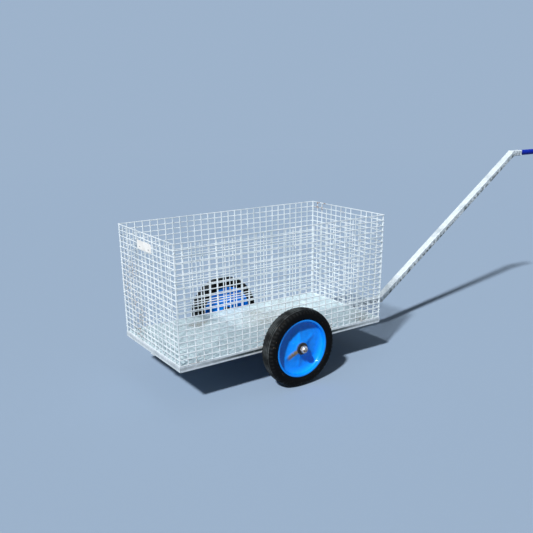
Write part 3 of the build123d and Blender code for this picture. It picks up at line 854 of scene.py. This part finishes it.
def frame_welds():
    """Upright beads at the frame's corners and the axle plates, and level ones along the top of the rail."""
    low, high = corners("frame_side_right")
    far = corners("frame_side_left")[1][1]
    level = BAR_HIGH[2]
    plate_low, plate_high = corners("axle_plates")
    seams = [bead([(x, y, low[2] + 1 * MM), (x, y, high[2] - 1 * MM)], X, CORNER_BEAD)
             for x in (low[0], high[0]) for y in (low[1], far)]
    for side in (-1, 1):
        rail = side * BAR_HIGH[1]
        runs = [(x, x + LEG - ANGLE_THICKNESS, rail) for x in (low[0] + ANGLE_THICKNESS, high[0] - LEG)]
        for name in BEARERS:
            bearer_low, bearer_high = corners(name)
            runs += [(bearer_low[0], bearer_high[0], y) for y in (rail, side * bearer_high[1])]
        runs.append((plate_low[0], plate_high[0], side * (plate_high[1] - 5 * MM)))
        seams += [bead([(start, y, level), (end, y, level)], Z) for start, end, y in runs]
        back = side * plate_high[1]
        seams += [bead([(x, back, low[2]), (x, back, level)], Y) for x in (plate_low[0], plate_high[0])]
    make_piece("frame_welds", seams, bar_zinc)


drawbar_welds()
frame_welds()

# %% Tacks under the mesh
TACK_LONG, TACK_WIDE, TACK_HIGH = 5.5 * MM, 3.2 * MM, 2.6 * MM
TACK_LIFT = 0.4 * MM


def mesh_tacks():
    """Flat lumps of weld where every third upright meets the frame."""
    low, high = corners("mesh_side_right")
    inner = 0.5 * WIRE
    foot = low[2] + TACK_LIFT
    along = np.arange(1, COLUMNS_LONG, 3) / COLUMNS_LONG * (high[0] - low[0] - WIRE) + low[0] + inner
    width = corners("mesh_end_rear")[1][1] * 2 - WIRE
    across = (np.arange(1, COLUMNS_WIDE, 3) / COLUMNS_WIDE - 0.5) * width
    sides = np.array([(x, y, foot) for x in along for y in (low[1] + inner, -low[1] - inner)])
    ends = np.array([(x, y, foot) for x in (low[0] + inner, high[0] - inner) for y in across])
    tacks = [copies(blob(np.array([TACK_LONG, TACK_WIDE, TACK_HIGH]), 8, 5), sides),
             copies(blob(np.array([TACK_WIDE, TACK_LONG, TACK_HIGH]), 8, 5), ends)]
    make_piece("mesh_tacks", tacks, bar_zinc)


mesh_tacks()

# %% [markdown]
# ## The grip
#
# A blue plastic sleeve pushed over the spigot at the drawbar's end. It is turned: a collar where it meets
# the tube, shallow rings under the hand, and a rounded closed end. The outline starts and ends on the axis,
# so the sleeve is one closed skin, inside and out.

# %% Grip sleeve
CLEARANCE = 0.05 * MM
GRIP_STEP = 1.6 * MM
GRIP_WAVE = 0.22 * MM
GRIP_WAVE_LENGTH = 9 * MM
GRIP_CAP = 4 * MM
GRIP_END = 10 * MM


def grip_sleeve():
    """Radius along the sleeve: full at the collar, then a little less with a shallow wave, closing in a
    rounded end."""
    low, high = corners("grip")
    length = high[0] - low[0]
    radius = half_size("grip")[2]
    bore = half_size("grip_core")[2] + CLEARANCE
    along = np.linspace(9 * MM, length - 12 * MM, 73)
    hand = radius - GRIP_STEP
    end = np.linspace(0, 0.5 * np.pi, 9)
    outline = np.vstack([
        [(length - GRIP_CAP, 0), (length - GRIP_CAP, bore), (0, bore), (0, radius - 0.8 * MM)],
        [(0.8 * MM, radius), (5.5 * MM, radius), (7 * MM, radius - 0.6 * MM)],
        np.column_stack([along, hand + GRIP_WAVE * np.cos(2 * np.pi * along / GRIP_WAVE_LENGTH)]),
        np.column_stack([length - GRIP_END * (1 - np.sin(end)), hand * np.cos(end) ** 0.55]),
    ])
    outline[-1, 1] = 0
    centre = np.array([low[0], 0, middle("grip")[2]])
    sleeve = turned(*outline.T, centre, X, 48, closed=False)
    make_piece("grip_sleeve", [sleeve], grip_blue, replaced=("grip",))


grip_sleeve()

# %% [markdown]
# ## The wheels
#
# A tyre on a rolled rim, a dished steel disc on each side, and a hub on plain bushes. All of it is turned
# work, so each part is an outline carried round the axle. Two parts have detail that changes with the angle:
# the tyre's shoulder lugs, and the pressed ribs of the disc. There the outline's radius or depth is an array
# over angle and outline point, and the same lathe function takes it.

# %% Tyre section
RIM_SHEET = 2.5 * MM
RIM_SEAT = 7 * MM
BEAD_GAP = 0.1 * MM
BEAD_WIDTH = 8 * MM
SIDEWALL = 6 * MM
TREAD_THICKNESS = 12 * MM
SHOULDER = 7 * MM


def arc(start, through, end, count):
    """Points on the circle through three points, in order, worked out with complex numbers."""
    a, b, c = points = np.array([start, through, end]) @ [1, 1j]
    turn = (c - a) / (b - a)
    centre = a + (b - a) * (turn - abs(turn) ** 2) / (2j * turn.imag)
    angles = np.unwrap(np.angle(points - centre))
    line = centre + abs(a - centre) * np.exp(1j * np.linspace(angles[0], angles[2], count))
    return np.column_stack([line.real, line.imag])


def tyre_section(radius, half, flange, bead_half, seat):
    """Outside: bead, sidewall arc, tread arc, sidewall arc, bead. Inside: most of an ellipse above the
    beads. Also gives how many of the points are on the outside."""
    shoulder = half - SHOULDER, radius - SHOULDER
    belly = 0.5 * (seat + radius) - 2 * MM
    wall = arc((bead_half, flange), (half, belly), shoulder, 22)
    tread = arc(shoulder, (0, radius), (-shoulder[0], shoulder[1]), 101)[1:-1]
    outside = np.vstack([[(bead_half, seat)], wall, tread, wall[::-1] * [-1, 1], [(-bead_half, seat)]])
    mouth = bead_half - BEAD_WIDTH
    cavity = half - SIDEWALL
    height = 0.5 * (radius - TREAD_THICKNESS - seat)
    open_angle = np.arccos(mouth / cavity)
    t = np.linspace(-open_angle, np.pi + open_angle, 24)
    inside = np.column_stack([-cavity * np.cos(t), belly + height * np.sin(t)])
    return np.vstack([outside, [(-mouth, seat)], inside, [(mouth, seat)]]), len(outside)


print("a half circle in 5 points:", arc((1, 0), (0, 1), (-1, 0), 5).round(2).tolist())


# %% Tyres
TREAD_GROOVES = np.array([-20, -10, 0, 10, 20]) * MM
TREAD_EDGE = 25 * MM
GROOVE_HALF = 2.0 * MM
GROOVE_DEPTH = 3.0 * MM
SHEEN_WIDTH = 1.0 * MM
LUGS = 60
LUG_STEPS = 6
LUG_DEPTH = 2.0 * MM
LUG_RISE = -17 * MM, -12 * MM
TURN_IN = -22 * MM, -8 * MM
LUG_NOTCH = 0.34
ZIGZAG = 0.3 * MM
SIDE_RINGS = (6 * MM, 1.6 * MM), (13 * MM, 1.1 * MM)
SIDE_RING_HEIGHT = 0.7 * MM


def tyre(side, outward):
    """Depth cut into the tread: grooves by the distance across from a zigzag line, and shoulder notches by
    the angle. Low on the sidewall two raised rings replace them."""
    node = f"{side}_tyre"
    _, half, radius = half_size(node)
    _, rim_half, flange = half_size(f"{side}_rim")
    bead_half = rim_half - RIM_SHEET - BEAD_GAP
    section, outside = tyre_section(radius, half, flange + 0.3 * MM, bead_half, flange - RIM_SEAT)
    across, out = section.T
    angle = np.linspace(0, 1, LUGS * LUG_STEPS, endpoint=False)[:, None] * LUGS
    is_out = np.arange(len(section)) < outside
    zigzag = ZIGZAG * (4 * np.abs(np.mod(angle, 1) - 0.5) - 1)
    near = np.abs((across - zigzag)[..., None] - TREAD_GROOVES).min(axis=2)
    crown = (out > radius - SHOULDER) * is_out
    groove = (1 - smooth(near, 0.5 * GROOVE_HALF, GROOVE_HALF)) * crown
    band = smooth(np.abs(across), TREAD_EDGE, TREAD_EDGE + 1.5 * MM) * is_out
    band = band * smooth(out - radius, *LUG_RISE)
    stagger = np.where(across > 0, 0.0, 0.5)
    notch = band * (np.mod(angle + stagger, 1) < LUG_NOTCH)
    rings = sum(bell(out - flange - above, width) for above, width in SIDE_RINGS)
    rings = rings * is_out * (np.abs(across) > bead_half)
    cut = np.maximum(GROOVE_DEPTH * groove, LUG_DEPTH * notch)
    pull = smooth(out - radius, *TURN_IN)
    turned_in = out - cut * pull
    drawn_in = across - np.sign(across) * (cut * (1 - pull) - SIDE_RING_HEIGHT * rings) * is_out
    surface = turned(drawn_in, turned_in, middle(node), outward * Y, LUGS * LUG_STEPS)
    # painted sheen: pale lines along the groove edges stand in for light on the rib edges; a little dust in
    # the notches
    dusty = crown * bell(near - GROOVE_HALF, SHEEN_WIDTH) + 0.1 * notch
    make_piece(f"{node}_tread", [surface], tyre_black, f"{side}_wheel", (node,), 50,
               {"dust": np.broadcast_to(dusty, turned_in.shape)})


print("tread:", len(TREAD_GROOVES), "grooves, and", LUGS, "notches on each shoulder")


# %% Rims
RIM_WELL = 8 * MM
RIM_EASE = np.array([1.2, 4.3, 3, 1.6, 1.6, 3, 4.3, 1.2] + [1.6] * 8) * MM
RIM_TURNS = 160
RECESS_SHADE = 0.4


def rim(side, outward):
    """A rolled channel: lips at both edges, seats for the tyre's beads, and a well where the discs are
    welded. Painted shade deepens its blue below the lips."""
    node = f"{side}_rim"
    _, edge, lip = half_size(node)
    seat = lip - RIM_SEAT
    well = seat - RIM_WELL
    under = np.array([(edge, lip), (edge, seat - RIM_SHEET), (11.5 * MM, seat - RIM_SHEET),
                      (9.5 * MM, well - RIM_SHEET)])
    over = np.array([(7 * MM, well), (9 * MM, seat), (edge - RIM_SHEET, seat), (edge - RIM_SHEET, lip)])
    flip = np.array([-1, 1])
    outline = rounded(np.vstack([under, (under * flip)[::-1], (over * flip)[::-1], over]), RIM_EASE, 6)
    surface = turned(*outline.T, middle(node), outward * Y, RIM_TURNS)
    # painted shade in the rim's recess, fading out towards the lips
    wall = RECESS_SHADE * (1 - smooth(np.abs(outline[:, 0]), edge - 12 * MM, edge - 2 * MM))
    make_piece(f"{node}_rolled", [surface], wheel_blue, f"{side}_wheel", (node,),
               marks={"recess": np.broadcast_to(wall, (RIM_TURNS, len(wall)))})


print("rim rolled from", RIM_SHEET / MM, "mm sheet")


# %% Discs
DISC_SHEET = 2 * MM
DISC_TURNS = 192
RIBS = 6
RIB_HEIGHT = 2.6 * MM
RIB_HALF = 11 * MM
BOSS_POWER = 2.8
BOWL_WIDTH = 24 * MM
BOWL_RISE = 24 * MM
WALL_REACH = 8 * MM
COLLAR_WIDTH = 8 * MM
RUN_BEARING = np.radians(235)
RUN_HALF = 12 * MM
RUN_FROM, RUN_TO = (14 * MM, 24 * MM), (62 * MM, 84 * MM)
SEEP_TO = 22 * MM, 30 * MM


def disc_outline(edge, hub, deep, proud):
    """A bowl that curves up to the rim's wall as a parabola, a cone that rises to the hub, and a flat collar,
    with points at even distances. Also gives the radius of the collar and of the bowl's foot."""
    shoulder = edge - BOWL_WIDTH
    wall = edge + WALL_REACH
    collar = hub + COLLAR_WIDTH
    moat = deep + 0.1 * MM
    t = np.linspace(0, 1, 13)[1:-1, None]
    top = np.array([BOWL_RISE, wall])
    turn = np.array([moat + 3 * MM, wall - 2.5 * MM])
    foot = np.array([moat + DISC_SHEET, shoulder])
    bowl = parabola(top, turn, foot, t)
    back = proud - DISC_SHEET
    outline = np.vstack([[(deep, edge), (deep + 5 * MM, edge), (deep + 8.5 * MM, wall), top], bowl, [foot,
                         (proud, collar), (proud, hub), (back, hub), (back, collar), (moat, shoulder)]])
    reach = np.array([0.4, 0.4, 0.4, 0.4] + [0.0] * len(bowl) + [22, 12, 0.5, 0.5, 12, 22]) * MM
    outline = rounded(outline, reach, 8)
    loop = np.vstack([outline, outline[:1]])
    even = drawn_at(loop, np.linspace(0, measured(loop)[-1], 190, endpoint=False))
    return even, collar, shoulder, proud - moat - DISC_SHEET


def disc(side, outward):
    """The cone's straight rise, 1 - p at a part p of the way out, is drawn down to a power of itself, so that
    it is flat at the bowl and steep at the hub. Ribs lift both faces of the sheet by a bell curve of the
    distance from the nearest of six spokes. Rust runs from the hub along one bearing."""
    node = f"{side}_disc_outer"
    wheel = middle(f"{side}_tyre")
    deep, proud = sorted(np.abs([corner[1] - wheel[1] for corner in corners(node)]))
    hub = half_size(f"{side}_hub")[2] + CLEARANCE
    outline, collar, shoulder, climb = disc_outline(half_size(node)[2], hub, deep, proud)
    along, radius = outline.T
    angle = all_round(DISC_TURNS)[:, None]
    spoke = np.mod(angle + np.pi / RIBS, 2 * np.pi / RIBS) - np.pi / RIBS
    window = between(radius, (collar + 4 * MM, collar + 18 * MM), (shoulder - 16 * MM, shoulder + 6 * MM))
    lift = RIB_HEIGHT * window * bell(radius * spoke, RIB_HALF)
    part_in = 1 - np.clip((radius - collar) / (shoulder - collar), 0, 1)
    sag = climb * (part_in - part_in**BOSS_POWER)
    surface = turned(along + lift - sag, radius, wheel, outward * Y, DISC_TURNS)
    x, _, z = (surface[0] - wheel).T
    out = np.hypot(x, z)
    drift = np.abs(np.angle(np.exp(1j * (np.arctan2(x, z) - RUN_BEARING))))
    run = bell((drift * out / RUN_HALF) ** 2, 1) * between(out, RUN_FROM, RUN_TO)
    seep = 0.4 * (1 - smooth(out, *SEEP_TO))
    make_piece(f"{side}_disc_pressed", [surface], wheel_blue, f"{side}_wheel", (node,),
               marks={"rust": np.maximum(run, seep)})


print("disc pressed from", DISC_SHEET / MM, "mm sheet, with", RIBS, "ribs")


# %% Hubs and bushes, and both wheels
HUB_WALL = 3 * MM
BUSH_LENGTH = 20 * MM
HUB_BEAD = 2.2 * MM


def hub_parts(side, outward):
    """Plain turned rings with eased edges, and a weld bead where each disc meets the hub."""
    centre = middle(f"{side}_hub")
    _, half, outside = half_size(f"{side}_hub")
    _, proud, flange = half_size(f"{side}_hub_bushes")
    bore = AXLE_RADIUS + CLEARANCE
    inside = outside - HUB_WALL
    fit = inside - CLEARANCE
    sleeve = half - BUSH_LENGTH
    collar = np.abs(corners(f"{side}_disc_outer")[0 if outward < 0 else 1][1] - centre[1])
    turn = all_round(60)
    bush = rounded([(sleeve, bore), (proud, bore), (proud, flange), (half, flange), (half, fit),
                    (sleeve, fit)], 0.9 * MM)
    hub = [turned(*ring_section(-half, half, inside, outside, 0.6 * MM).T, centre, Y, 64)]
    for way in (-1, 1):
        circle = np.column_stack([outside * np.sin(turn), 0 * turn + way * collar, outside * np.cos(turn)])
        hub.append(bead(centre + circle, Y, HUB_BEAD, True))
    body = f"{side}_wheel"
    make_piece(f"{side}_hub_tube", hub, wheel_blue, body, (f"{side}_hub",))
    make_piece(f"{side}_bushes", turned_pair(*bush.T, centre, 64), bush_black, body,
               (f"{side}_hub_bushes",))


for side, outward in (("right", -1), ("left", 1)):
    for make in (tyre, rim, disc, hub_parts):
        make(side, outward)

# %% [markdown]
# ## Axle, washers and nuts
#
# The nuts show from both sides, so they get what a real locking nut has: chamfered corners and a round
# collar. The radius at each point is the smaller of the hexagon's radius at that angle and a limit that
# falls at the chamfers. The axle is a plain rod with cut threads at its ends, modelled as close rings.

# %% Axle rod
THREAD_PITCH = 2.0 * MM
THREAD_DEPTH = 1.0 * MM
THREADED = 24 * MM


def axle_rod():
    """Half an outline from the tip inwards, with crests and roots by turns, and its mirror image."""
    reach = corners("axle")[1][1]
    thread = np.arange(0, THREADED / THREAD_PITCH * 2) * 0.5 * THREAD_PITCH
    crest = AXLE_RADIUS - THREAD_DEPTH * (np.arange(len(thread)) % 2)
    cut = np.column_stack([reach - 1.5 * MM - thread, crest])
    half = np.vstack([[(reach, 0), (reach, AXLE_RADIUS - 1.8 * MM)], cut,
                      [(cut[-1, 0] - THREAD_PITCH, AXLE_RADIUS)]])
    outline = np.vstack([half, half[::-1] * [-1, 1]])
    rod = turned(*outline.T, AXLE_CENTRE, Y, 40, closed=False)
    make_piece("axle_rod", [rod], rod_plating, replaced=("axle",))


axle_rod()

# %% Washers and nuts
WASHER = 3 * MM
FLATS = 30 * MM
NUT_COLLAR = 13 * MM
NUT_COLLAR_HEIGHT = 4 * MM
NUT_TURNS = 96


def hexagon(flats, angle):
    """Distance from the centre to the side of a hexagon, at an angle."""
    third = np.pi / 3
    return 0.5 * flats / np.cos(np.mod(angle + 0.5 * third, third) - 0.5 * third)


def nuts_and_washers():
    """The nut's profile gives (height, largest radius); on the flats the hexagon is the smaller."""
    face = corners("wheel_washers")[1][1]
    bore = AXLE_RADIUS + CLEARANCE
    washer = ring_section(face - WASHER, face, bore, half_size("wheel_washers")[2], 0.5 * MM)
    height = corners("axle_nuts")[1][1] - face
    hexed = height - NUT_COLLAR_HEIGHT
    profile = np.array([(0, bore), (0, 0.52 * FLATS), (1.1 * MM, FLATS), (hexed - 1.3 * MM, FLATS),
                        (hexed, 0.505 * FLATS), (hexed, NUT_COLLAR), (height - 1.2 * MM, NUT_COLLAR),
                        (height - 0.3 * MM, 12.3 * MM), (height, 11.4 * MM), (height, bore)])
    angle = all_round(NUT_TURNS)[:, None]
    limit = np.minimum(profile[None, :, 1], hexagon(FLATS, angle))
    washers = turned_pair(*washer.T, AXLE_CENTRE, 64)
    nuts = turned_pair(face + profile[:, 0], limit, AXLE_CENTRE, NUT_TURNS)
    make_piece("hub_washers", washers, greasy_steel, replaced=("wheel_washers",))
    make_piece("locking_nuts", nuts, nut_plating, replaced=("axle_nuts",), crease=25)


nuts_and_washers()

# %% [markdown]
# ## Floor, light and camera
#
# A plain pale floor runs out to the horizon, where it fades into a background of the same colour. One soft
# lamp shines from high behind the rear end, as the sun does in the photograph: it brightens that end and the
# top of the drawbar, and only grazes the near side. The floor sends back less light than it shows, so that
# the shaded sides stay as dark as they are there. The camera has the photograph's place, turn and lens.

# %% Stage
PALE = (0.34, 0.45, 0.60)
FLOOR_SHARE = 0.78
BOUNCE_SHARE = 0.35
FLOOR_RADIUS = 60.0
FADE_FROM, FADE_TO = 3.5, 14.0


def seen_directly(shading):
    """1 for rays from the camera, from a reflection or through glass, and 0 for soft bounced light."""
    ray = shading.add("LightPath").outputs
    seen = shading.calc("MAXIMUM", ray["Is Camera Ray"], ray["Is Glossy Ray"])
    return shading.calc("MAXIMUM", seen, ray["Is Transmission Ray"])


def stage_floor():
    """A disc of flat rings, wider and wider apart."""
    turn = all_round(96)
    rings = np.array([0.0, 1, 3, 6, 12, 25, FLOOR_RADIUS])
    spoke = np.column_stack([np.cos(turn), np.sin(turn), 0 * turn])
    points = (rings[:, None, None] * spoke[None]).reshape(-1, 3)
    mesh = bpy.data.meshes.new("stage_floor")
    mesh.from_pydata(points.tolist(), [], grid_faces(len(rings), len(turn), wrap_columns=True).tolist())
    own, bounce = (tuple(share * part for part in PALE) for share in (FLOOR_SHARE, BOUNCE_SHARE))
    surface = Finish("stage_pale", {"Roughness": 0.9, "Specular IOR Level": 0.1})
    surface.feed(surface.shader, {"Base Color": surface.mix(seen_directly(surface), bounce, own)})
    glow = surface.add("Emission", {"Color": PALE, "Strength": 1.0})
    far = surface.add("VectorMath", {0: surface.place}, operation="LENGTH").outputs["Value"]
    faded = surface.ease(far, FADE_FROM, FADE_TO)
    blend = surface.add("MixShader", {0: faded, 1: surface.shader.outputs[0], 2: glow.outputs[0]})
    surface.feed(surface.nodes["Material Output"], {"Surface": blend.outputs[0]})
    mesh.materials.append(surface.material)
    floor = bpy.data.objects.new("stage_floor", mesh)
    bpy.context.scene.collection.objects.link(floor)


stage_floor()
print("floor of", FLOOR_RADIUS, "m radius")

# %% Light
SKY = 0.17
SKY_WHITE = (0.93, 0.97, 1.0)
KEY = 4.9
KEY_FROM = (-0.62, -0.36, 0.70)
KEY_SOFTNESS = np.radians(4)


def sky_and_key():
    """A pale even sky that the camera sees as the floor's colour, and one soft key lamp."""
    world = bpy.data.worlds.new("pale_sky")
    bpy.context.scene.world = world
    sky = Finish("pale_sky", {"Color": SKY_WHITE, "Strength": SKY}, world, "Background")
    shown = sky.add("Background", {"Color": PALE, "Strength": 1.0})
    pick = sky.add("MixShader", {0: seen_directly(sky), 1: sky.shader.outputs[0], 2: shown.outputs[0]})
    sky.feed(sky.nodes["World Output"], {"Surface": pick.outputs[0]})
    lamp = bpy.data.lights.new("key_lamp", "SUN")
    lamp.energy = KEY
    lamp.angle = KEY_SOFTNESS
    key = bpy.data.objects.new("key_lamp", lamp)
    aim = np.array(KEY_FROM) / np.linalg.norm(KEY_FROM)
    key.rotation_euler = (np.arccos(aim[2]), 0, np.arctan2(aim[1], aim[0]) + np.pi / 2)
    bpy.context.scene.collection.objects.link(key)


sky_and_key()
bpy.context.scene.view_settings.view_transform = "Standard"
print("key lamp from", KEY_FROM)

# %% Camera
CAMERA_PLACE = (-2.3895, -2.5022, 1.2353)
CAMERA_AZIMUTH = np.radians(34.1)
CAMERA_ELEVATION = np.radians(19.67)
CAMERA_ROLL = np.radians(-0.53)
PHOTO_WIDTH = 533
FOCAL_PIXELS = 648.8
RISE_PIXELS = 63.5


def photo_camera():
    """The photograph's viewpoint, with its focal length and its rise turned into Blender's units."""
    lens = bpy.data.cameras.new("photo_camera")
    lens.lens = lens.sensor_width * FOCAL_PIXELS / PHOTO_WIDTH
    lens.shift_y = RISE_PIXELS / PHOTO_WIDTH
    camera = bpy.data.objects.new("photo_camera", lens)
    turn = Matrix.Rotation(-CAMERA_AZIMUTH, 4, "Z") @ Matrix.Rotation(np.pi / 2 - CAMERA_ELEVATION, 4, "X")
    camera.matrix_world = Matrix.Translation(CAMERA_PLACE) @ turn @ Matrix.Rotation(CAMERA_ROLL, 4, "Z")
    bpy.context.scene.collection.objects.link(camera)
    bpy.context.scene.camera = camera


photo_camera()
print("camera at", CAMERA_PLACE)
